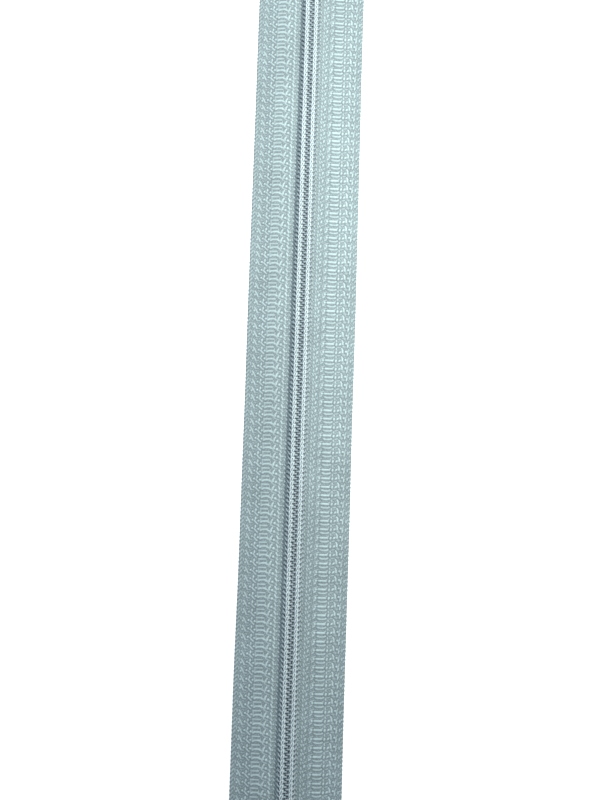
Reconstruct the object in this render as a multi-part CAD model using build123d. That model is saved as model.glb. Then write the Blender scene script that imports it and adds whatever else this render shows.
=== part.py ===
from build123d import *
import math
import os

# A closed-end coil zipper lying flat, coil side up. Millimetres.
# +Y runs up the chain to the slider, +Z is up, and X = 0 is the line where the coils mesh.

# Tapes
HALF_LENGTH = 145.0
TAPE_INNER_X = 0.15
TAPE_OUTER_X = 13.5
TAPE_THICKNESS = 0.5
PLATEAU_Z = 1.0  # underside of the tape where it carries the coil
PLATEAU_HALF_WIDTH = 5.5
FOOT_X = 13.0  # from here outwards the tape lies on the table
SLAB_HALF_WIDTH = 16.0

# The two rows part inside the slider and stay apart above it
PART_START_Y = 113.0
PART_END_Y = 119.0
PART_X = 1.25

# Coils
PITCH = 1.17
WIRE_R = 0.25
COIL_Z = 2.225
HEAD_R = 0.475
HEAD_X = 0.375  # centre of a head's arc, so that heads cross the middle by 0.35
RETURN_X = 1.296  # where the straight legs end and the outer loop begins
FIRST_LEFT_TURN, LAST_LEFT_TURN = -103, 106
FIRST_RIGHT_TURN, LAST_RIGHT_TURN = -104, 105
END_TURNS = 3

# Cord and sewing
CORD_X = 1.12
CORD_R = 0.2
SEAM_X = 1.12
FRONT_SEAM_WIDTH = 0.9
BACK_SEAM_WIDTH = 0.8
FRONT_SEAM_Z = (2.95, 3.15)
BACK_SEAM_Z = (0.87, 1.0)
SEAM_Y = (-121.4, 121.9)
CORD_END_Y = 124.6

# Stops
HINGE_Y = -121.5
BOTTOM_STOP_Y = (-125.0, -121.5)
BOTTOM_STOP_X = (2.42, 3.0)
TOP_STOP_Y = (122.0, 125.0)
TOP_STOP_X = (0.45, 0.86, 3.6, 4.05)
STOP_Z = (0.55, 0.98, 2.97, 3.45)
BOTTOM_STOP_EDGE_R = 0.42
TOP_STOP_EDGE_R = 0.38
STOP_END_EDGE_R = 0.12
CUT_MARGIN = 1.0  # how far a cutting block runs past what it cuts

# Slider
SLIDER_Y = (111.95, 121.95)
SLIDER_OUTER_X = 3.15
SLIDER_INNER_X = 2.45
LOWER_PLATE_Z = (0.05, 0.80)
UPPER_PLATE_Z = (3.30, 4.10)
PLATE_CORNER_R = 0.9
PLATE_EDGE_R = 0.25
FLANGE_BOTTOM_Z = 1.62
POST_Y = (117.4, 119.8, 121.6)  # its tip, where it is widest, and its end
POST_HALF_WIDTH = 0.75
POST_END_HALF_WIDTH = 0.55
WINDOW_Y = 114.15
WINDOW_SIZE = 0.9

# Crown, lock and pull
CROWN_Y = (112.6, 120.4)
CROWN_TOP_Z = 6.3
CROWN_WALL = 0.5
CROWN_HALF_WIDTH = 0.95
CROWN_BEND_R = 1.0
CROWN_HOLLOW_R = 0.5
CROWN_EDGE_R = 0.18
STRIP_Z = (5.25, 5.45)
STRIP_HALF_WIDTH = 0.5
STRIP_FRONT_Y = 113.6
HEEL_Y, HEEL_Z, HEEL_R = 119.2, 4.27, 0.15  # the rolled heel that the lock spring rocks on
HEEL_HALF_THICKNESS = 0.1
PIN_HALF_WIDTH = 0.25
PIN_TIP_HALF_WIDTH = 0.09
PIN_Z = (2.86, 2.95, 5.3)  # its tip, its shoulder and its root in the strip
PIVOT_Y, PIVOT_Z = 116.0, 4.65
PULL_HALF_THICKNESS = 0.5
PULL_HEAD_HALF_WIDTH = 2.3
PULL_HEAD_END_Y = 111.0
PULL_WAIST_Y, PULL_WAIST_HALF_WIDTH = 107.2, 1.55
PULL_BLADE_Y, PULL_BLADE_HALF_WIDTH = 97.0, 2.5
PULL_END_Y = 92.0
PULL_EDGE_R = 0.2
EYE_END_Y, EYE_HALF_WIDTH = 111.1, 1.2
PULL_HOLE_R = 1.0
GRIP_Y = (97.6, 106.0)
GRIP_HALF_WIDTH = 1.1
GRIP_DEPTH = 0.2
GRIP_CORNER_R = 0.8

os.makedirs("parts", exist_ok=True)


def ramp_radius(length, rise):
    """Radius of two equal tangent arcs that climb `rise` over `length`."""
    return (length**2 + rise**2) / (4 * rise)


def parting(y):
    """How far a row has moved outwards at y."""
    radius = ramp_radius(PART_END_Y - PART_START_Y, PART_X)
    if y <= PART_START_Y:
        return 0.0
    if y >= PART_END_Y:
        return PART_X
    if y <= (PART_START_Y + PART_END_Y) / 2:
        return radius - math.sqrt(radius**2 - (y - PART_START_Y) ** 2)
    return PART_X - radius + math.sqrt(radius**2 - (PART_END_Y - y) ** 2)


def parting_line(x, low_y, high_y, z=0.0):
    """Edges of a row's line at rest distance x from the middle, from low_y to high_y."""
    middle_y = (PART_START_Y + PART_END_Y) / 2
    quarter = (PART_END_Y - PART_START_Y) / 4

    def at(y):
        return (x + parting(y), y, z)

    if high_y <= PART_START_Y:
        return [Line(at(low_y), at(high_y))]
    edges = []
    if low_y < PART_START_Y:
        edges.append(Line(at(low_y), at(PART_START_Y)))
    edges.append(ThreePointArc(at(PART_START_Y), at(middle_y - quarter), at(middle_y)))
    edges.append(ThreePointArc(at(middle_y), at(middle_y + quarter), at(PART_END_Y)))
    if high_y > PART_END_Y:
        edges.append(Line(at(PART_END_Y), at(high_y)))
    return edges


def band(inner_x, outer_x, low_y, high_y, low_z, high_z):
    """A flat strip between two parting lines."""
    inner = parting_line(inner_x, low_y, high_y)
    outer = parting_line(outer_x, low_y, high_y)
    bottom = Line((inner_x + parting(low_y), low_y), (outer_x + parting(low_y), low_y))
    top = Line((inner_x + parting(high_y), high_y), (outer_x + parting(high_y), high_y))
    face = make_face(inner + outer + [bottom, top])
    return extrude(face.moved(Location((0, 0, low_z))), high_z - low_z, dir=(0, 0, 1))


def beyond(span):
    """A range that runs past another at both ends, for cutting right through it."""
    return (span[0] - CUT_MARGIN, span[1] + CUT_MARGIN)


def block(x_range, y_range, z_range):
    size = [high - low for low, high in (x_range, y_range, z_range)]
    middle = [(low + high) / 2 for low, high in (x_range, y_range, z_range)]
    return Pos(*middle) * Box(*size)


def arched_slab():
    """Fabric thickness in the shape both tapes take: raised in the middle, feet on the table."""
    rise = PLATEAU_Z
    top = PLATEAU_Z + TAPE_THICKNESS
    radius = ramp_radius(FOOT_X - PLATEAU_HALF_WIDTH, rise)
    half = (FOOT_X + PLATEAU_HALF_WIDTH) / 2
    quarter = (FOOT_X - PLATEAU_HALF_WIDTH) / 4
    sag = radius - math.sqrt(radius**2 - quarter**2)

    def half_profile(side, lift):
        plateau_end = (side * PLATEAU_HALF_WIDTH, top + lift)
        upper = (side * (PLATEAU_HALF_WIDTH + quarter), top + lift - sag)
        middle = (side * half, top + lift - rise / 2)
        lower = (side * (FOOT_X - quarter), top + lift - rise + sag)
        foot = (side * FOOT_X, top + lift - rise)
        end = (side * SLAB_HALF_WIDTH, top + lift - rise)
        return [
            ThreePointArc(plateau_end, upper, middle),
            ThreePointArc(middle, lower, foot),
            Line(foot, end),
        ]

    edges = []
    for lift in (0.0, -TAPE_THICKNESS):
        level = top + lift
        edges.append(Line((-PLATEAU_HALF_WIDTH, level), (PLATEAU_HALF_WIDTH, level)))
        for side in (-1, 1):
            edges += half_profile(side, lift)
    for side in (-1, 1):
        x = side * SLAB_HALF_WIDTH
        edges.append(Line((x, 0.0), (x, TAPE_THICKNESS)))
    face = Plane.XZ * make_face(edges)
    return extrude(face.moved(Location((0, -HALF_LENGTH, 0))), 2 * HALF_LENGTH, dir=(0, 1, 0))


def turn_y(side, turn):
    return (turn + (0.5 if side > 0 else 0.0)) * PITCH


def coil(side, first, last):
    """One nylon monofilament: legs over and under, a head in the middle, a loop outside."""
    low_z, high_z = COIL_Z - HEAD_R, COIL_Z + HEAD_R
    loop_r = math.hypot(PITCH, 2 * HEAD_R) / 2
    edges = []

    def loop_start(turn):
        return RETURN_X + parting(turn_y(side, turn) + PITCH / 2)

    for turn in range(first, last + 1):
        y = turn_y(side, turn)
        head_x = HEAD_X + parting(y)
        start_x, end_x = loop_start(turn - 1), loop_start(turn)
        edges.append(Line((side * start_x, y, low_z), (side * head_x, y, low_z)))
        edges.append(
            ThreePointArc(
                (side * head_x, y, low_z),
                (side * (head_x - HEAD_R), y, COIL_Z),
                (side * head_x, y, high_z),
            )
        )
        edges.append(Line((side * head_x, y, high_z), (side * end_x, y, high_z)))
        if turn < last:
            edges.append(
                ThreePointArc(
                    (side * end_x, y, high_z),
                    (side * (end_x + loop_r), y + PITCH / 2, COIL_Z),
                    (side * end_x, y + PITCH, low_z),
                )
            )
    path = Wire(edges)
    start = edges[0] @ 0
    section = Plane(origin=start, z_dir=(-side, 0, 0)) * Circle(WIRE_R)
    return sweep(section, path=path)


def core_cord():
    edges = parting_line(CORD_X, SEAM_Y[0], CORD_END_Y, COIL_Z)
    section = Plane(origin=edges[0] @ 0, z_dir=(0, 1, 0)) * Circle(CORD_R)
    return sweep(section, path=Wire(edges))


def rounded_clip(shell, radius):
    """A pressed clip's outside: round along Y, and eased where its end faces begin."""
    shell = fillet(shell.edges().filter_by(Axis.Y), radius)
    ends = shell.faces().sort_by(Axis.Y)
    end_edges = ends[0].outer_wire().edges() + ends[-1].outer_wire().edges()
    return fillet(end_edges, STOP_END_EDGE_R)


def bottom_stop():
    inner_x, outer_x = BOTTOM_STOP_X
    low_z, floor_z, roof_z, high_z = STOP_Z
    shell = block((-outer_x, outer_x), BOTTOM_STOP_Y, (low_z, high_z))
    shell = rounded_clip(shell, BOTTOM_STOP_EDGE_R)
    return shell - block((-inner_x, inner_x), beyond(BOTTOM_STOP_Y), (floor_z, roof_z))


def top_stop():
    """Clip round the right row's inner edge; the tape leaves through its outer wall."""
    nose_x, inner_x, wall_x, outer_x = TOP_STOP_X
    low_z, floor_z, roof_z, high_z = STOP_Z
    shell = block((nose_x, outer_x), TOP_STOP_Y, (low_z, high_z))
    shell = rounded_clip(shell, TOP_STOP_EDGE_R)
    shell -= block((inner_x, wall_x), beyond(TOP_STOP_Y), (floor_z, roof_z))
    tape_gap = (PLATEAU_Z, PLATEAU_Z + TAPE_THICKNESS)
    return shell - block((inner_x, outer_x + CUT_MARGIN), beyond(TOP_STOP_Y), tape_gap)


def slider_plate(z_range):
    right = parting_line(SLIDER_OUTER_X, *SLIDER_Y)
    left = [edge.mirror(Plane.YZ) for edge in right]
    ends = []
    for y in SLIDER_Y:
        half = SLIDER_OUTER_X + parting(y)
        ends.append(Line((-half, y), (half, y)))
    face = make_face(right + left + ends).moved(Location((0, 0, z_range[0])))
    plate = extrude(face, z_range[1] - z_range[0], dir=(0, 0, 1))
    corners = plate.edges().filter_by(Axis.Z).group_by(Axis.Y)
    plate = fillet(corners[0] + corners[-1], PLATE_CORNER_R)
    faces = plate.faces().sort_by(Axis.Z)
    outer_face = faces[-1] if z_range == UPPER_PLATE_Z else faces[0]
    return fillet(outer_face.outer_wire().edges(), PLATE_EDGE_R)


def post():
    tip_y, wide_y, end_y = POST_Y
    outline = Polyline(
        (0, tip_y),
        (POST_HALF_WIDTH, wide_y),
        (POST_END_HALF_WIDTH, end_y),
        (-POST_END_HALF_WIDTH, end_y),
        (-POST_HALF_WIDTH, wide_y),
        (0, tip_y),
    )
    low_z, high_z = LOWER_PLATE_Z[1], UPPER_PLATE_Z[0]
    return extrude(make_face(outline).moved(Location((0, 0, low_z))), high_z - low_z, dir=(0, 0, 1))


def slider_body():
    """Two plates joined by the post, with a flange down each side of the upper plate."""
    flange = band(SLIDER_INNER_X, SLIDER_OUTER_X, *SLIDER_Y, FLANGE_BOTTOM_Z, UPPER_PLATE_Z[0])
    flanges = flange + flange.mirror(Plane.YZ)
    upper_plate = slider_plate(UPPER_PLATE_Z)
    underside = upper_plate.faces().sort_by(Axis.Z)[0]
    footprint = extrude(underside, UPPER_PLATE_Z[0], dir=(0, 0, -1))
    body = upper_plate + slider_plate(LOWER_PLATE_Z) + post() + (flanges & footprint)
    half = WINDOW_SIZE / 2
    window_y = (WINDOW_Y - half, WINDOW_Y + half)
    return body - block((-half, half), window_y, beyond(UPPER_PLATE_Z))


def crown():
    """The bridge over the slider that holds the pull's bar and covers the lock spring."""
    low_y, high_y = CROWN_Y
    half = CROWN_HALF_WIDTH
    base_z = UPPER_PLATE_Z[1]
    shell = block((-half, half), CROWN_Y, (base_z, CROWN_TOP_Z))
    top_edges = shell.edges().filter_by(Axis.X).group_by(Axis.Z)[-1]
    shell = fillet(top_edges, CROWN_BEND_R)
    sides = shell.faces().sort_by(Axis.X)
    above = [
        edge
        for side in (sides[0], sides[-1])
        for edge in side.outer_wire().edges()
        if edge.center().Z > base_z + CROWN_EDGE_R
    ]
    shell = fillet(above, CROWN_EDGE_R)
    hollow_y = (low_y + CROWN_WALL, high_y - CROWN_WALL)
    hollow_z = (base_z - CUT_MARGIN, CROWN_TOP_Z - CROWN_WALL)
    hollow = block(beyond((-half, half)), hollow_y, hollow_z)
    hollow = fillet(hollow.edges().filter_by(Axis.X).group_by(Axis.Z)[-1], CROWN_HOLLOW_R)
    return shell - hollow


def lock_pawl():
    """Spring strip over the pull's bar, with a pin that drops through the plate's window."""
    width = (-STRIP_HALF_WIDTH, STRIP_HALF_WIDTH)
    heel_y = (HEEL_Y - HEEL_HALF_THICKNESS, HEEL_Y + HEEL_HALF_THICKNESS)
    strip = block(width, (STRIP_FRONT_Y, heel_y[1]), STRIP_Z)
    heel = block(width, heel_y, (HEEL_Z, STRIP_Z[1]))
    roll = Pos(0, HEEL_Y, HEEL_Z) * Rot(0, 90, 0) * Cylinder(HEEL_R, 2 * STRIP_HALF_WIDTH)
    tip_z, shoulder_z, root_z = PIN_Z
    outline = Polyline(
        (0, tip_z),
        (PIN_TIP_HALF_WIDTH, shoulder_z),
        (PIN_HALF_WIDTH, shoulder_z),
        (PIN_HALF_WIDTH, root_z),
        (-PIN_HALF_WIDTH, root_z),
        (-PIN_HALF_WIDTH, shoulder_z),
        (-PIN_TIP_HALF_WIDTH, shoulder_z),
        (0, tip_z),
    )
    face = (Plane.XZ * make_face(outline)).moved(Location((0, WINDOW_Y - PIN_HALF_WIDTH, 0)))
    pin = extrude(face, 2 * PIN_HALF_WIDTH, dir=(0, 1, 0))
    return strip + heel + roll + pin


def pull_blank():
    """The pull's outline: a wide head at its bar, a waist, and a blade with a round end."""
    low_z = PIVOT_Z - PULL_HALF_THICKNESS
    end_y = PULL_END_Y + PULL_BLADE_HALF_WIDTH
    head = (PULL_HEAD_HALF_WIDTH, PULL_HEAD_END_Y)
    waist = (PULL_WAIST_HALF_WIDTH, PULL_WAIST_Y)
    blade = (PULL_BLADE_HALF_WIDTH, PULL_BLADE_Y)
    right = [
        Line((PULL_HEAD_HALF_WIDTH, PIVOT_Y), head),
        Spline(head, waist, blade, tangents=[(0, -1), (0, -1)]),
        Line(blade, (PULL_BLADE_HALF_WIDTH, end_y)),
    ]
    left = [edge.mirror(Plane.YZ) for edge in right]
    top = Line((-PULL_HEAD_HALF_WIDTH, PIVOT_Y), (PULL_HEAD_HALF_WIDTH, PIVOT_Y))
    tip = ThreePointArc(
        (PULL_BLADE_HALF_WIDTH, end_y), (0, PULL_END_Y), (-PULL_BLADE_HALF_WIDTH, end_y)
    )
    outline = make_face(right + left + [top, tip])
    blank = extrude(outline.moved(Location((0, 0, low_z))), 2 * PULL_HALF_THICKNESS, dir=(0, 0, 1))
    rim = blank.faces().sort_by(Axis.Z)[-1].outer_wire().edges()
    below_head = [edge for edge in rim if edge.center().Y < PULL_HEAD_END_Y]
    return fillet(below_head, PULL_EDGE_R)


def pull_tab():
    tall = (PIVOT_Z - PULL_HALF_THICKNESS, PIVOT_Z + PULL_HALF_THICKNESS)
    eye_y = (EYE_END_Y, PIVOT_Y + CUT_MARGIN)
    eye = block((-EYE_HALF_WIDTH, EYE_HALF_WIDTH), eye_y, beyond(tall))
    bar_length = 2 * PULL_HEAD_HALF_WIDTH
    bar = Pos(0, PIVOT_Y, PIVOT_Z) * Rot(0, 90, 0) * Cylinder(PULL_HALF_THICKNESS, bar_length)
    hole_y = PULL_END_Y + PULL_BLADE_HALF_WIDTH
    hole = Pos(0, hole_y, PIVOT_Z) * Cylinder(PULL_HOLE_R, 2 * CUT_MARGIN)
    grip_z = (tall[1] - GRIP_DEPTH, tall[1] + CUT_MARGIN)
    grip = block((-GRIP_HALF_WIDTH, GRIP_HALF_WIDTH), GRIP_Y, grip_z)
    grip = fillet(grip.edges().filter_by(Axis.Z), GRIP_CORNER_R)
    return pull_blank() - eye + bar - hole - grip


def seam(width, z_range):
    """A row of stitches as a plain strip over or under the coil's legs."""
    return band(SEAM_X - width / 2, SEAM_X + width / 2, *SEAM_Y, *z_range)


slab = arched_slab()
all_z = beyond((0.0, PLATEAU_Z + TAPE_THICKNESS))
right_tape = slab & band(TAPE_INNER_X, TAPE_OUTER_X, HINGE_Y, HALF_LENGTH, *all_z)
right_tail = slab & band(TAPE_INNER_X, TAPE_OUTER_X, -HALF_LENGTH, HINGE_Y, *all_z)

mirrored = {
    "tape": right_tape,
    "tail": right_tail - block(BOTTOM_STOP_X, BOTTOM_STOP_Y, all_z),
    "front_seam": seam(FRONT_SEAM_WIDTH, FRONT_SEAM_Z),
    "back_seam": seam(BACK_SEAM_WIDTH, BACK_SEAM_Z),
    "core_cord": core_cord(),
    "top_stop": top_stop(),
}
nodes = {
    "coil_left": coil(-1, FIRST_LEFT_TURN, LAST_LEFT_TURN),
    "coil_right": coil(1, FIRST_RIGHT_TURN, LAST_RIGHT_TURN),
    "coil_end_left": coil(-1, FIRST_LEFT_TURN - END_TURNS, FIRST_LEFT_TURN - 1),
    "coil_end_right": coil(1, FIRST_RIGHT_TURN - END_TURNS, FIRST_RIGHT_TURN - 1),
    "bottom_stop": bottom_stop(),
    "slider_body": slider_body(),
    "crown": crown(),
    "lock_pawl": lock_pawl(),
    "pull_tab": pull_tab(),
}
for name, right in mirrored.items():
    nodes[name + "_right"] = right
    nodes[name + "_left"] = right.mirror(Plane.YZ)

for name, shape in nodes.items():
    export_step(shape, f"parts/{name}.step")
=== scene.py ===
"""A coil zipper lying flat on a pale table: woven tapes, nylon coils, sewing and a metal slider."""

import math

import bpy
import numpy as np
from mathutils import Matrix, Vector


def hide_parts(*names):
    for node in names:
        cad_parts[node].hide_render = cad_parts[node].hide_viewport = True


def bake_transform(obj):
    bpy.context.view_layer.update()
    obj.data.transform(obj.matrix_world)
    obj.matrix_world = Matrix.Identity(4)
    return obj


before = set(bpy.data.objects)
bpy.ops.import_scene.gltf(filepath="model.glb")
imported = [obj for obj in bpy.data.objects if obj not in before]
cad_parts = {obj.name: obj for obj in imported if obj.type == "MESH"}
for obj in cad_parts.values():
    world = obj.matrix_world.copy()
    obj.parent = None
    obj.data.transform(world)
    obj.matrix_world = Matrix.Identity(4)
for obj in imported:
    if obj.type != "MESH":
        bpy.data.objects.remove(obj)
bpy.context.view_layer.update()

MM = 0.001
SIDES = {"left": -1, "right": 1}

# Sizes shared with the CAD model, in millimetres
HALF_LENGTH = 145.0
TAPE_INNER_X = 0.15
TAPE_WIDTH = 13.35
TAPE_THICKNESS = 0.5
PLATEAU_TOP_Z = 1.5
PLATEAU_HALF_WIDTH = 5.5
FOOT_X = 13.0
ARCH_RISE = 1.0
PART_START_Y, PART_END_Y, PART_X = 113.0, 119.0, 1.25
PITCH = 1.17
WIRE_R = 0.25
COIL_Z = 2.225
HEAD_R = 0.475
HEAD_X = 0.375
RETURN_X = 1.296
TURNS = {"left": (-106, 106), "right": (-107, 105)}
CORD_X = 1.12
CORD_TOP_Y = 124.6
SEAM_X = 1.12
SEAM_Y = (-121.4, 121.9)


# ---------------------------------------------------------------- shapes

def s_curve(t, length, rise):
    """Two equal tangent arcs that climb `rise` over `length`, as a function of t from 0."""
    radius = (length**2 + rise**2) / (4 * rise)
    t = np.clip(t, 0.0, length)
    lower = radius - np.sqrt(radius**2 - np.minimum(t, length / 2) ** 2)
    upper = rise - radius + np.sqrt(radius**2 - np.minimum(length - t, length / 2) ** 2)
    return np.where(t <= length / 2, lower, upper)


def parting(y):
    """How far a row has moved outwards at y."""
    return s_curve(y - PART_START_Y, PART_END_Y - PART_START_Y, PART_X)


def arch(x):
    """Height of the tape's top face at distance x from the middle."""
    slope = s_curve(np.abs(x) - PLATEAU_HALF_WIDTH, FOOT_X - PLATEAU_HALF_WIDTH, ARCH_RISE)
    return PLATEAU_TOP_Z - slope


def mesh_piece(name, points, polygons, smooth=True):
    """A mesh object from points in millimetres and arrays of polygons, one array per polygon size."""
    mesh = bpy.data.meshes.new(name)
    mesh.vertices.add(len(points))
    mesh.vertices.foreach_set("co", (np.asarray(points, float) * MM).ravel())
    corners = np.concatenate([p.ravel() for p in polygons])
    sizes = np.concatenate([np.full(len(p), p.shape[1]) for p in polygons])
    mesh.loops.add(len(corners))
    mesh.loops.foreach_set("vertex_index", corners.astype(np.int32))
    mesh.polygons.add(len(sizes))
    mesh.polygons.foreach_set("loop_start", (np.cumsum(sizes) - sizes).astype(np.int32))
    mesh.polygons.foreach_set("use_smooth", np.full(len(sizes), smooth))
    mesh.update(calc_edges=True)
    mesh.validate()
    piece = bpy.data.objects.new(name, mesh)
    bpy.context.collection.objects.link(piece)
    return piece


def tube(path, radii, sides=8, flatten=None):
    """Points and polygons of a closed tube along path. radii is one radius or one per point;
    flatten scales the ring along the tube's second direction, point by point."""
    path = np.asarray(path, float)
    count = len(path)
    tangent = np.gradient(path, axis=0)
    tangent /= np.linalg.norm(tangent, axis=1)[:, None]
    up = np.zeros_like(path)
    side = np.array([0.0, 1.0, 0.0]) if abs(tangent[0][1]) < 0.9 else np.array([1.0, 0.0, 0.0])
    for n in range(count):
        side = side - tangent[n] * (side @ tangent[n])
        side /= np.linalg.norm(side)
        up[n] = side
    other = np.cross(tangent, up)
    radii = np.broadcast_to(radii, count)
    squeeze = np.ones(count) if flatten is None else flatten
    angle = np.arange(sides) * 2 * math.pi / sides
    ring = (
        up[:, None] * np.cos(angle)[None, :, None]
        + other[:, None] * (np.sin(angle)[None, :] * squeeze[:, None])[..., None]
    )
    points = (path[:, None] + ring * radii[:, None, None]).reshape(-1, 3)
    first = np.arange(sides)[::-1][None, :]
    last = ((count - 1) * sides + np.arange(sides))[None, :]
    return points, [ring_quads(count, sides), np.concatenate([first, last])]


def ring_quads(rows, around):
    """Quads between neighbouring rings of points, each ring closed on itself."""
    start = np.arange(rows - 1)[:, None] * around
    here = np.arange(around)[None, :]
    there = (here + 1) % around
    corners = [start + here, start + there, start + around + there, start + around + here]
    return np.stack(corners, axis=-1).reshape(-1, 4)


def joined(parts):
    """One set of points and polygons out of several."""
    points, by_size, base = [], {}, 0
    for part_points, polygons in parts:
        points.append(part_points)
        for p in polygons:
            by_size.setdefault(p.shape[1], []).append(p + base)
        base += len(part_points)
    return np.concatenate(points), [np.concatenate(v) for v in by_size.values()]


# ---------------------------------------------------------------- materials

# The dark and the light end of each material's colours
# The tape's colours run from painted shade in the weave's hollows to the yarn's own colour on the tops
TAPE_TONES_WITH_PAINTED_SHADE = (0.10, 0.135, 0.15), (0.52, 0.65, 0.655)
THREAD_TONES = (0.52, 0.62, 0.64), (0.72, 0.83, 0.84)
CORD_TONES = (0.42, 0.50, 0.52), (0.56, 0.66, 0.68)
NYLON_TONES = (0.22, 0.275, 0.30), (0.26, 0.325, 0.35)
ENAMEL_TONES = (0.24, 0.31, 0.33), (0.29, 0.37, 0.39)
ALUMINIUM_TONES = (0.60, 0.63, 0.64), (0.74, 0.77, 0.78)
STEEL_TONES = (0.50, 0.51, 0.52), (0.62, 0.63, 0.64)
FLOOR_TONES = (0.93, 0.93, 0.93), (0.95, 0.95, 0.95)


class Nodes:
    """A material's node tree, with short calls for what the materials below share."""

    def __init__(self, name):
        self.material = bpy.data.materials.new(name)
        self.material.use_nodes = True
        self.tree = self.material.node_tree
        self.shader = self.tree.nodes["Principled BSDF"]
        self.coordinates = self.add("ShaderNodeTexCoord").outputs["Object"]

    def add(self, kind, **values):
        node = self.tree.nodes.new(kind)
        for key, value in values.items():
            setattr(node, key, value)
        return node

    def link(self, source, target):
        self.tree.links.new(source, target)

    def noise(self, size_mm, detail=2.0, roughness=0.5, stretch=(1, 1, 1)):
        scale = self.add("ShaderNodeMapping")
        scale.inputs["Scale"].default_value = [s / (size_mm * MM) for s in stretch]
        self.link(self.coordinates, scale.inputs["Vector"])
        noise = self.add("ShaderNodeTexNoise")
        noise.inputs["Scale"].default_value = 1.0
        noise.inputs["Detail"].default_value = detail
        noise.inputs["Roughness"].default_value = roughness
        self.link(scale.outputs["Vector"], noise.inputs["Vector"])
        return noise.outputs["Fac"]

    def attribute(self, name):
        return self.add("ShaderNodeAttribute", attribute_name=name).outputs["Fac"]

    def tones(self, factor, colours, low=0.3, high=0.7):
        """From the first colour, up to factor low, to the second, from factor high."""
        ramp = self.add("ShaderNodeValToRGB")
        for element, position, colour in zip(ramp.color_ramp.elements, (low, high), colours):
            element.position = position
            element.color = (*colour, 1.0)
        self.link(factor, ramp.inputs["Fac"])
        return ramp.outputs["Color"]

    def veil(self, factor, darkest, low=0.3, high=0.7):
        """A grey to multiply by, from darkest to white."""
        return self.tones(factor, ((darkest,) * 3, (1.0,) * 3), low, high)

    def multiply(self, a, b):
        mix = self.add("ShaderNodeMix", data_type="RGBA", blend_type="MULTIPLY")
        mix.inputs["Factor"].default_value = 1.0
        self.link(a, mix.inputs["A"])
        self.link(b, mix.inputs["B"])
        return mix.outputs["Result"]

    def grey(self, factor, low, high):
        """factor from 0 to 1 as a number from low to high."""
        spread = self.add("ShaderNodeMapRange")
        spread.inputs["To Min"].default_value = low
        spread.inputs["To Max"].default_value = high
        self.link(factor, spread.inputs["Value"])
        return spread.outputs["Result"]

    def bump(self, height, distance_mm, strength):
        bump = self.add("ShaderNodeBump")
        bump.inputs["Distance"].default_value = distance_mm * MM
        bump.inputs["Strength"].default_value = strength
        self.link(height, bump.inputs["Height"])
        return bump.outputs["Normal"]

    def finish(self, colour, roughness=None, normal=None, **constants):
        """The material, with sockets linked and constants set on the shader itself."""
        for name, value in constants.items():
            self.shader.inputs[name.replace("_", " ")].default_value = value
        for name, socket in (("Base Color", colour), ("Roughness", roughness), ("Normal", normal)):
            if socket is not None:
                self.link(socket, self.shader.inputs[name])
        return self.material


def fabric_material(name, tones, relief, fibre_mm):
    """Spun polyester: fine fibres and a faint sheen. With relief, an attribute's height sets the colour, as
    painted shade that darkens the hollows.
    """
    n = Nodes(name)
    # Painted shade: the weave's height darkens the colour in its hollows
    yarn = n.tones(n.attribute(relief), tones, low=0.0, high=1.0) if relief else None
    mottle = n.noise(9.0, detail=3.0)
    fibres = n.noise(fibre_mm, roughness=0.7)
    base = yarn if relief else n.tones(fibres, tones)
    shade = n.veil(mottle, 0.90)
    slub = n.veil(n.noise(0.6, detail=1.0), 0.84, low=0.35, high=0.65)
    speckle = n.multiply(slub, n.veil(fibres, 0.9))
    colour = n.multiply(n.multiply(base, shade), speckle)
    normal = n.bump(fibres, distance_mm=0.05, strength=0.9)
    roughness = n.grey(fibres, low=0.7, high=0.92)
    return n.finish(
        colour, roughness, normal,
        Sheen_Weight=0.2, Sheen_Roughness=0.5, Specular_IOR_Level=0.22,
    )


def nylon_material():
    """Drawn nylon monofilament: smooth, with long draw marks."""
    n = Nodes("coil_nylon")
    tone = n.noise(3.0)
    marks = n.noise(0.12, stretch=(0.2, 1, 1))
    colour = n.tones(tone, NYLON_TONES)
    roughness = n.grey(marks, low=0.36, high=0.5)
    normal = n.bump(marks, distance_mm=0.006, strength=0.5)
    return n.finish(colour, roughness, normal, Specular_IOR_Level=0.6, IOR=1.53)


def enamel_material():
    """Enamel on die-cast zinc, dyed to match the tapes, with a faint orange peel under a clear coat."""
    n = Nodes("slider_enamel")
    tone = n.noise(4.0, detail=3.0)
    peel = n.noise(0.35)
    colour = n.tones(tone, ENAMEL_TONES)
    roughness = n.grey(peel, low=0.25, high=0.4)
    normal = n.bump(peel, distance_mm=0.012, strength=0.5)
    return n.finish(colour, roughness, normal, Metallic=0.35, Coat_Weight=0.35, Coat_Roughness=0.15)


def metal_material(name, tones, grain_stretch):
    """Rolled metal with fine marks along its length."""
    n = Nodes(name)
    grain = n.noise(0.2, detail=3.0, stretch=grain_stretch)
    colour = n.tones(grain, tones)
    roughness = n.grey(grain, low=0.42, high=0.6)
    normal = n.bump(grain, distance_mm=0.01, strength=0.5)
    return n.finish(colour, roughness, normal, Metallic=1.0)


def floor_material():
    """Matt white that glows a little, so that it reads as a plain light table."""
    n = Nodes("floor_white")
    colour = n.tones(n.noise(40.0), FLOOR_TONES, low=0.0, high=1.0)
    return n.finish(
        colour, Roughness=0.9, Specular_IOR_Level=0.1,
        Emission_Color=(1.0, 1.0, 1.0, 1.0), Emission_Strength=0.35,
    )


# ---------------------------------------------------------------- woven tape

BAR_PITCH = {"left": 0.865 * PITCH, "right": 0.895 * PITCH}
RELIEF_MM = 0.2
# The share of the relief that the weave's zero level lies under the tape's top face
RELIEF_SINK = 0.6
STRAND_SWELL = 1.6
# Moats are dips round each yarn; the colour follows the height, so they also get painted shade
MOAT_SWELL = 2.3
MOAT_DEPTH = 0.85
CELL_STEP = 0.02

# Spacing of the front's points, in millimetres, and how many front columns go to one back column
TAPE_STEP_X, TAPE_STEP_Y = 0.13, 0.14
BACK_EVERY = 4

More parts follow.
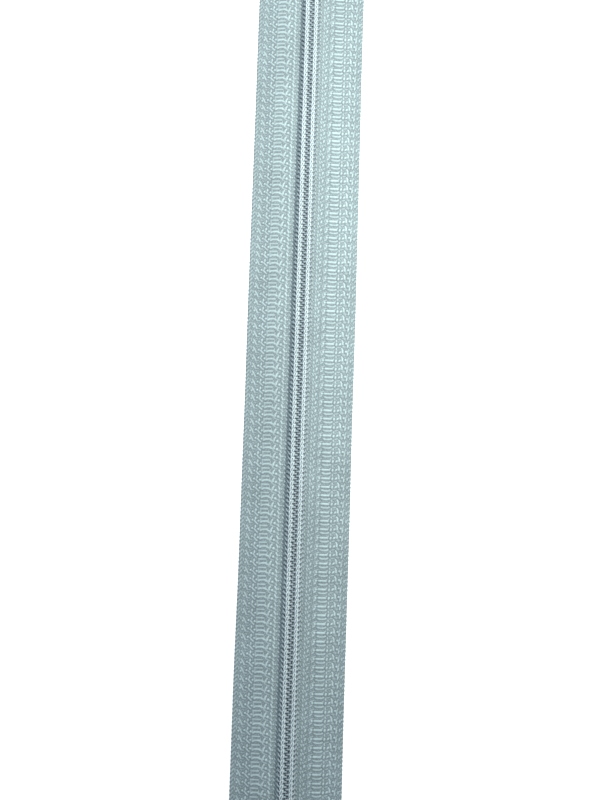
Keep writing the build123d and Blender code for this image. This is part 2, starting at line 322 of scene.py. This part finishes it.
# Slow irregularities, as (size, wavelength), and how far in from the outer edge the edge ones reach
DRIFT = (0.12, 31.0)
WOBBLE, WOBBLE_REACH = (0.12, 83.0), 6.0
SCALLOP_MM, SCALLOP_REACH = 0.05, 0.6
DRIFT_SEED, WOBBLE_SEED = 3, 11

# The tape's edges round off over EDGE_ROLL, down to EDGE_SHARE of its thickness
EDGE_ROLL = 0.25
EDGE_SHARE = 0.25
BACK_TONE = 0.6

# One repeat of each tape's weave, in millimetres: across from the outer edge, up from
# the repeat's foot.
# A knot is (across, up, radius, height). A strand is (points, half width, height).
KNOTS = {
    "left": [
        (1.59, 0.88, 0.20, 0.9), (3.02, 1.11, 0.20, 1.0), (4.53, 0.88, 0.20, 1.0),
        (8.50, 0.41, 0.25, 1.0), (9.97, 0.72, 0.17, 0.9),
    ],
    "right": [
        (0.50, 1.37, 0.17, 0.9), (2.20, 1.33, 0.21, 1.0), (3.68, 1.06, 0.20, 1.0),
        (5.22, 1.37, 0.15, 0.8), (7.87, 0.95, 0.22, 1.0), (10.65, 1.06, 0.13, 0.8),
    ],
}
STRANDS = {
    "left": [
        (((0.20, 0.30), (0.75, 1.00)), 0.17, 0.60),
        (((0.20, 1.30), (0.75, 2.00)), 0.17, 0.60),
        (((1.10, 1.90), (1.15, 1.30)), 0.14, 0.65),
        (((1.65, 1.75), (2.15, 1.00), (2.35, 0.45)), 0.16, 0.80),
        (((2.45, 2.00), (2.75, 1.70)), 0.13, 0.60),
        (((2.40, 0.45), (3.05, 0.35)), 0.14, 0.60),
        (((3.80, 1.68), (3.80, 1.32)), 0.16, 0.95),
        (((3.53, 0.95), (3.88, 0.53), (4.35, 0.10)), 0.15, 0.85),
        (((5.00, 1.45), (5.05, 0.70)), 0.12, 0.65),
        (((4.95, 1.77), (6.72, 1.77)), 0.18, 0.75),
        (((7.40, 0.55), (7.55, 0.10)), 0.14, 0.8),
        (((5.12, 0.58), (5.50, 0.80), (6.65, 0.84), (7.05, 0.57)), 0.20, 0.85),
        (((7.00, 1.42), (6.98, 1.00)), 0.12, 0.65),
        (((8.06, 1.32), (7.72, 0.85), (7.83, 0.50)), 0.16, 0.90),
        (((7.60, 1.95), (8.60, 1.60)), 0.14, 0.60),
        (((9.20, 1.32), (9.52, 0.70)), 0.17, 0.95),
        (((9.35, 1.98), (9.62, 1.68)), 0.15, 0.85),
        (((8.90, 0.10), (9.60, 0.25)), 0.13, 0.60),
        (((10.45, 1.90), (10.75, 1.60)), 0.15, 0.85),
        (((10.55, 0.75), (10.80, 0.50)), 0.15, 0.80),
        (((11.10, 1.25), (11.25, 0.90)), 0.15, 0.80),
        (((11.15, 0.25), (11.30, -0.10)), 0.15, 0.75),
    ],
    "right": [
        (((0.95, 1.25), (0.98, 0.75)), 0.14, 0.85),
        (((0.25, 0.75), (0.60, 0.20)), 0.16, 0.60),
        (((1.75, 0.90), (1.85, 0.40)), 0.16, 0.90),
        (((1.55, 1.95), (1.80, 1.10)), 0.13, 0.70),
        (((2.60, 0.15), (3.05, 2.00)), 0.12, 0.55),
        (((3.25, 2.05), (3.00, 1.60), (3.05, 1.05)), 0.15, 0.95),
        (((2.45, 0.45), (3.00, 0.50)), 0.16, 0.60),
        (((3.55, 1.20), (3.85, 0.90)), 0.15, 0.90),
        (((4.60, 2.00), (4.55, 1.65)), 0.13, 0.85),
        (((4.55, 1.10), (4.65, 0.80)), 0.18, 0.95),
        (((3.60, 0.30), (4.20, 0.15)), 0.14, 0.65),
        (((5.45, 0.98), (7.15, 0.98)), 0.21, 0.92),
        (((5.15, 0.20), (5.60, 0.02), (6.60, 0.00), (7.10, 0.15)), 0.18, 0.78),
        (((7.45, 1.60), (8.30, 1.30)), 0.14, 0.65),
        (((8.35, 0.15), (7.95, 0.40)), 0.15, 0.85),
        (((8.55, 1.05), (8.35, 0.55)), 0.13, 0.65),
        (((9.30, 0.95), (9.40, 0.55)), 0.17, 0.95),
        (((9.75, 1.75), (9.60, 1.45)), 0.15, 0.80),
        (((8.90, 1.95), (9.25, 1.80)), 0.14, 0.70),
        (((10.15, 0.45), (10.05, 0.10)), 0.15, 0.85),
        (((10.30, 1.75), (10.10, 1.20)), 0.15, 0.75),
        (((11.15, 1.90), (11.00, 1.50)), 0.15, 0.80),
        (((11.20, 0.85), (11.05, 0.45)), 0.15, 0.80),
    ],
}
# Under the coils both tapes are the same plain rib: how far across, lean, length, half width and height
RIBS = [11.8, 12.35, 12.9]
RIB_LEAN, RIB_SHARE, RIB_HALF_WIDTH, RIB_HEIGHT = 0.1, 0.3, 0.2, 0.7

# The ground weave between the strands: its mean height, its swing and the width of one pair of ends
GROUND_LEVEL, GROUND_SWING, GROUND_WIDTH, GROUND_SLANT = 0.38, 0.2, 0.58, 2.6
KNOT_LENGTH = 0.01


def ridge(a, t, start, end, half_width):
    """A yarn's rounded height over the cell's points, from a segment between two points."""
    (a1, t1), (a2, t2) = start, end
    da, dt = a2 - a1, t2 - t1
    along = np.clip(((a - a1) * da + (t - t1) * dt) / max(da * da + dt * dt, 1e-9), 0.0, 1.0)
    distance = np.hypot(a - a1 - along * da, t - t1 - along * dt)
    return np.sqrt(np.clip(1.0 - (distance / half_width) ** 2, 0.0, 1.0))


def rib_segments(repeat):
    """The short leaning floats of the plain rib, staggered from one rib to the next."""
    segments = []
    for n, x in enumerate(RIBS):
        for k in (0, 1):
            foot = (n / 4 + k / 2) * repeat
            top = (x + RIB_LEAN, foot + RIB_SHARE * repeat)
            segments.append(((x, foot), top, RIB_HALF_WIDTH, RIB_HEIGHT))
    return segments


def weave_segments(side_name, repeat):
    """Every yarn of one repeat as (start, end, half width, height)."""
    segments = [
        ((x, up), (x + KNOT_LENGTH, up), radius, level) for x, up, radius, level in KNOTS[side_name]
    ]
    for points, half_width, level in STRANDS[side_name]:
        segments += [(start, end, half_width, level) for start, end in zip(points, points[1:])]
    return segments + rib_segments(repeat)


def weave_cell(side_name):
    """Height from 0 to 1 over one repeat: rows across the tape, columns along it."""
    repeat = 2 * BAR_PITCH[side_name]
    across = np.arange(0.0, TAPE_WIDTH + CELL_STEP, CELL_STEP)
    along = np.linspace(0.0, repeat, round(repeat / CELL_STEP), endpoint=False)
    a, t = np.meshgrid(across, along, indexing="ij")
    ends = np.sin(a * 2 * math.pi / GROUND_WIDTH)
    picks = np.cos(t * 6 * math.pi / repeat + a * GROUND_SLANT)
    ground = GROUND_LEVEL + GROUND_SWING * ends * picks
    sunk = np.zeros_like(a)
    raised = np.zeros_like(a)
    for (a1, t1), (a2, t2), half_width, level in weave_segments(side_name, repeat):
        for shift in (-repeat, 0.0, repeat):
            line = (a, t, (a1, t1 + shift), (a2, t2 + shift))
            sunk = np.maximum(sunk, ridge(*line, half_width * MOAT_SWELL))
            raised = np.maximum(raised, level * ridge(*line, half_width * STRAND_SWELL))
    return np.maximum(ground * (1 - MOAT_DEPTH * sunk), raised)


def weave_height(cell, bar, a, y):
    """The cell's height at tape points, repeated along the tape."""
    rows = np.clip(np.rint(a / CELL_STEP).astype(int), 0, cell.shape[0] - 1)
    turn = np.mod(y / (2 * bar), 1.0) * cell.shape[1]
    return cell[rows, np.floor(turn).astype(int) % cell.shape[1]]


def wander(y, seed, size, wavelength):
    """A slow drift along the tape, about size at most either way, the same in every run."""
    rng = np.random.default_rng(seed)
    total = np.zeros_like(y)
    for n in range(1, 5):
        total += np.sin(y * 2 * math.pi * n / wavelength / 2 + rng.uniform(0, 6.3)) / n
    return size * (total / 2)


def fade(distance, reach):
    """1 at distance 0, down to 0 at reach."""
    return np.clip(1 - distance / reach, 0, 1)


def tape_points(side_name):
    """The tape's rings of points, front then back, and the weave's height at each front point."""
    side = SIDES[side_name]
    bar = BAR_PITCH[side_name]
    columns = round(TAPE_WIDTH / TAPE_STEP_X / BACK_EVERY) * BACK_EVERY
    u = np.linspace(0.0, TAPE_WIDTH, columns + 1)
    y = np.linspace(-HALF_LENGTH, HALF_LENGTH, round(2 * HALF_LENGTH / TAPE_STEP_Y))
    y_grid, u_grid = np.meshgrid(y, u, indexing="ij")
    from_outside = TAPE_WIDTH - u_grid
    drift = wander(y_grid, DRIFT_SEED + side, *DRIFT)
    height = weave_height(weave_cell(side_name), bar, from_outside, y_grid + drift)
    roll = np.sqrt(np.clip(1 - fade(np.minimum(from_outside, u_grid), EDGE_ROLL) ** 2, 0, 1))
    x_grid = TAPE_INNER_X + u_grid + parting(y_grid)
    scallop = SCALLOP_MM * np.cos(2 * math.pi * y_grid / bar) * fade(from_outside, SCALLOP_REACH)
    wobble = wander(y_grid, WOBBLE_SEED + side, *WOBBLE) * fade(from_outside, WOBBLE_REACH)
    x_front = x_grid + scallop + wobble
    middle = arch(x_grid) - TAPE_THICKNESS / 2
    half = TAPE_THICKNESS / 2 * (EDGE_SHARE + (1 - EDGE_SHARE) * roll)
    z_front = middle + half - RELIEF_MM * RELIEF_SINK + RELIEF_MM * height * roll
    front = np.stack([side * x_front, y_grid, z_front], axis=-1)
    kept = np.arange(0, columns + 1, BACK_EVERY)
    back = np.stack([side * x_front[:, kept], y_grid[:, kept], (middle - half)[:, kept]], axis=-1)
    return np.concatenate([front, back[:, ::-1]], axis=1), height


def tape_caps(rows, around, fronts):
    """Polygons over the two cut ends: each takes BACK_EVERY front edges and one back edge."""
    caps = []
    for row in (0, rows - 1):
        base = row * around
        for k in range((fronts - 1) // BACK_EVERY):
            front = [base + BACK_EVERY * k + n for n in range(BACK_EVERY + 1)]
            back = [base + around - 1 - k - n for n in (1, 0)]
            caps.append(front + back)
    caps = np.array(caps)
    half_caps = len(caps) // 2
    caps[:half_caps] = caps[:half_caps, ::-1]
    return caps


def woven_tape(side_name, material):
    """A tape with its tail, as one sheet from end to end, coloured by the weave's height as painted shade in
    the hollows.
    """
    ring, height = tape_points(side_name)
    rows, around = ring.shape[:2]
    polygons = [ring_quads(rows, around), tape_caps(rows, around, height.shape[1])]
    if SIDES[side_name] < 0:
        polygons = [p[:, ::-1] for p in polygons]
    piece = mesh_piece(f"tape_{side_name}_woven", ring.reshape(-1, 3), polygons)
    back_tone = np.full((rows, around - height.shape[1]), BACK_TONE)
    tone = np.concatenate([height, back_tone], axis=1)
    # The height goes into the colour as painted shade in the weave's hollows; the back gets a plain mid tone
    relief = piece.data.attributes.new("relief", "FLOAT", "POINT")
    relief.data.foreach_set("value", tone.ravel().astype(np.float32))
    piece.data.materials.append(material)
    stringer_piece(piece, side_name, "tape", "tail")


def stringer_piece(piece, side_name, *nodes):
    """Hides the CAD nodes that the piece stands in for, and bakes the piece's placing into its points."""
    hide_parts(*(f"{node}_{side_name}" for node in nodes))
    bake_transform(piece)


# ---------------------------------------------------------------- coils

# The filament is pressed flat, and at the heads it is pressed flatter and bulges out
FILAMENT_R = 0.27
FLATNESS = 0.91
HEAD_BULGE, HEAD_PRESS = 0.08, 0.09
ARC_POINTS = 9

# Strands that lie in an oval round the cord's middle, which is CORD_INSET in from the seam
CORD_STRANDS, STRAND_R = 5, 0.21
CORD_LAY = 3.4
CORD_INSET = 0.07
CORD_REACH_X, CORD_REACH_Z = 0.5, 0.05
CORD_POINTS = 700


def turn_y(side, turn):
    """Where along the chain a turn's head is. The right row is half a pitch ahead, to mesh."""
    return (turn + (0.5 if side > 0 else 0.0)) * PITCH


def coil_path(side_name):
    """The filament's centre line, and how near each point is to a head's tip, from 0 to 1."""
    side = SIDES[side_name]
    first, last = TURNS[side_name]
    low_z, high_z = COIL_Z - HEAD_R, COIL_Z + HEAD_R
    loop_r = math.hypot(PITCH, 2 * HEAD_R) / 2
    path, bulge = [], []
    for turn in range(first, last + 1):
        y = turn_y(side, turn)
        shift = float(parting(np.array(y)))
        head_x = HEAD_X + shift
        out_x = RETURN_X + float(parting(np.array(y + PITCH / 2)))
        in_x = RETURN_X + float(parting(np.array(y - PITCH / 2)))
        for x in (in_x, (in_x + head_x) / 2):
            path.append((side * x, y, low_z))
            bulge.append(0.0)
        for angle in np.linspace(-90, 90, ARC_POINTS):
            turned = math.radians(angle)
            reach = HEAD_R * math.cos(turned)
            path.append((side * (head_x - reach), y, COIL_Z + HEAD_R * math.sin(turned)))
            bulge.append(math.cos(turned))
        for x in ((2 * head_x + out_x) / 3, (head_x + 2 * out_x) / 3, out_x):
            path.append((side * x, y, high_z))
            bulge.append(0.0)
        if turn == last:
            continue
        for angle in np.linspace(90, -90, ARC_POINTS)[1:-1]:
            turned = math.radians(angle)
            reach = loop_r * math.cos(turned)
            middle = y + PITCH / 2
            rise = math.sin(turned)
            path.append((side * (out_x + reach), middle - rise * PITCH / 2, COIL_Z + rise * HEAD_R))
            bulge.append(0.0)
    return np.array(path), np.array(bulge)


def nylon_coil(side_name, material):
    """A row's coil with its end below the bottom stop, as one filament."""
    path, bulge = coil_path(side_name)
    radii = FILAMENT_R * (1 + HEAD_BULGE * bulge)
    points, polygons = tube(path, radii, sides=8, flatten=FLATNESS - HEAD_PRESS * bulge)
    piece = mesh_piece(f"coil_{side_name}_turns", points, polygons)
    piece.data.materials.append(material)
    stringer_piece(piece, side_name, "coil", "coil_end")


def core_cord(side_name, material):
    """A spun cord that fills the inside of the turns, from the heads to the outer loops."""
    side = SIDES[side_name]
    y = np.linspace(SEAM_Y[0], CORD_TOP_Y, CORD_POINTS)
    strands = []
    for n in range(CORD_STRANDS):
        angle = y * 2 * math.pi / CORD_LAY + n * 2 * math.pi / CORD_STRANDS
        x = CORD_X - CORD_INSET + parting(y) + CORD_REACH_X * np.cos(angle)
        z = COIL_Z + CORD_REACH_Z * np.sin(angle)
        strands.append(tube(np.stack([side * x, y, z], axis=1), STRAND_R, sides=7))
    piece = mesh_piece(f"core_cord_{side_name}_strands", *joined(strands))
    piece.data.materials.append(material)
    stringer_piece(piece, side_name, "core_cord")


# ---------------------------------------------------------------- sewing

THREAD_R = 0.15
LINK_HALF_WIDTH = 0.27
LINK_LENGTH = 1.2
LINK_SLANT = 0.28
# How full a link is in plan, how steeply it climbs, and how far it stands clear of the leg it crosses
LINK_FULLNESS = 0.8
LINK_CLIMB = 1.6
LINK_SEAT = 0.6
LINK_POINTS = 12
HOLE_RISE = 0.3
# Turns without a link at the foot and the top of a coil
BARE_TURNS = (3, 2)

LOOPER_R = 0.07
LOOPER_REACH = 0.2
LOOPER_GAP = 0.05
LOOPER_POINTS = 1400


def chain_links(side_name):
    """Chain stitches over the coil's legs: each link opens round its leg and closes in a hole."""
    side = SIDES[side_name]
    first, last = TURNS[side_name]
    top_z = COIL_Z + HEAD_R + WIRE_R + THREAD_R * LINK_SEAT
    hole_z = COIL_Z + HOLE_RISE
    t = np.linspace(0.0, 1.0, LINK_POINTS)
    links = []
    for turn in range(first + BARE_TURNS[0], last + 1 - BARE_TURNS[1]):
        y = turn_y(side, turn)
        y_line = y + (t - 0.5) * PITCH * LINK_LENGTH
        shift = parting(y_line) + side * LINK_SLANT * (t - 0.5)
        for hand in (-1, 1):
            spread = LINK_HALF_WIDTH * np.sin(math.pi * t) ** LINK_FULLNESS
            x_line = SEAM_X + shift + hand * spread
            lift = np.clip(np.sin(math.pi * t) * LINK_CLIMB, 0, 1)
            z_line = hole_z + (top_z - hole_z) * lift
            links.append(tube(np.stack([side * x_line, y_line, z_line], axis=1), THREAD_R, sides=7))
    return links


def looper_rows(side_name):
    """The looper thread under the tape, a low chain that zigzags between the needle holes."""
    side = SIDES[side_name]
    y = np.linspace(*SEAM_Y, LOOPER_POINTS)
    rows = []
    for hand in (-1, 1):
        x = SEAM_X + parting(y) + hand * LOOPER_REACH * np.abs(np.sin(math.pi * y / PITCH))
        z = np.full_like(y, PLATEAU_TOP_Z - TAPE_THICKNESS - LOOPER_GAP)
        rows.append(tube(np.stack([side * x, y, z], axis=1), LOOPER_R, sides=6))
    return rows


def sewing(side_name, material):
    """A row's front and back stitching, as two pieces."""
    for node, parts in (("front_seam", chain_links(side_name)), ("back_seam", looper_rows(side_name))):
        piece = mesh_piece(f"{node}_{side_name}_thread", *joined(parts))
        piece.data.materials.append(material)
        stringer_piece(piece, side_name, node)


# ---------------------------------------------------------------- table, light, camera

FLOOR_HALF = 20000.0


def add_floor():
    """A plain floor, so wide that its edge is a straight horizon in the low side views."""
    corners = ((-1, -1, 0), (1, -1, 0), (1, 1, 0), (-1, 1, 0))
    points = FLOOR_HALF * np.array(corners)
    floor = mesh_piece("floor", points, [np.array([[0, 1, 2, 3]])], smooth=False)
    floor.data.materials.append(floor_material())


def add_area_light(name, place, aim, size, power, colour):
    """A square area light of the given side, turned to face aim."""
    data = bpy.data.lights.new(name, "AREA")
    data.shape = "RECTANGLE"
    data.size = data.size_y = size
    data.energy = power
    data.color = colour
    light = bpy.data.objects.new(name, data)
    bpy.context.collection.objects.link(light)
    light.location = place
    light.rotation_euler = (Vector(aim) - Vector(place)).to_track_quat("-Z", "Y").to_euler()


def add_lights():
    """A cool even surround, a warm key from the right and a broad soft light from above."""
    world = bpy.data.worlds.new("studio")
    bpy.context.scene.world = world
    world.use_nodes = True
    background = world.node_tree.nodes["Background"]
    background.inputs["Color"].default_value = (0.74, 0.85, 1.0, 1.0)
    background.inputs["Strength"].default_value = 0.5
    add_area_light(
        "key", place=(0.10, 0.05, 0.15), aim=(0.0, 0.04, 0.0),
        size=0.05, power=0.42, colour=(1.0, 0.98, 0.90),
    )
    add_area_light(
        "soft", place=(-0.02, 0.11, 0.22), aim=(0.0, 0.05, 0.0),
        size=0.16, power=0.40, colour=(0.95, 0.98, 1.0),
    )


CAMERA_DISTANCE = 0.350
CAMERA_TILT = math.radians(7.6)
CAMERA_ROLL = math.radians(1.9)
CAMERA_AIM = Vector((0.0003, -0.0155, 0.002))
CAMERA_LENS_MM = 63.6


def add_camera():
    """Almost straight down on the closed chain, from a little towards the bottom stop."""
    back = Vector((0.0, -math.sin(CAMERA_TILT), math.cos(CAMERA_TILT)))
    right = Vector((1.0, 0.0, 0.0))
    up = back.cross(right)
    rolled_right = right * math.cos(CAMERA_ROLL) + up * math.sin(CAMERA_ROLL)
    rolled_up = up * math.cos(CAMERA_ROLL) - right * math.sin(CAMERA_ROLL)
    data = bpy.data.cameras.new("camera")
    data.lens = CAMERA_LENS_MM
    data.sensor_width = 36.0
    data.clip_start = 0.01
    camera = bpy.data.objects.new("camera", data)
    bpy.context.collection.objects.link(camera)
    turn = Matrix((rolled_right, rolled_up, back)).transposed().to_4x4()
    camera.matrix_world = Matrix.Translation(CAMERA_AIM + back * CAMERA_DISTANCE) @ turn
    bpy.context.scene.camera = camera


# ---------------------------------------------------------------- put together

def main():
    bpy.context.scene.view_settings.view_transform = "Standard"
    add_floor()
    tape_cloth = fabric_material("tape_polyester", TAPE_TONES_WITH_PAINTED_SHADE, relief="relief", fibre_mm=0.12)
    thread = fabric_material("sewing_thread", THREAD_TONES, relief=None, fibre_mm=0.08)
    cord = fabric_material("cord_filler", CORD_TONES, relief=None, fibre_mm=0.1)
    nylon = nylon_material()
    enamel = enamel_material()
    alloy = metal_material("stop_aluminium", ALUMINIUM_TONES, grain_stretch=(0.3, 1, 1))
    spring = metal_material("spring_steel", STEEL_TONES, grain_stretch=(1, 0.2, 1))
    for side_name in SIDES:
        woven_tape(side_name, tape_cloth)
        nylon_coil(side_name, nylon)
        core_cord(side_name, cord)
        sewing(side_name, thread)
    finishes = {
        "slider_body": enamel, "crown": enamel, "pull_tab": enamel, "lock_pawl": spring,
        "bottom_stop": alloy, "top_stop_left": alloy, "top_stop_right": alloy,
    }
    for node, material in finishes.items():
        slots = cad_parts[node].data.materials
        slots.clear()
        slots.append(material)
    add_lights()
    add_camera()


main()
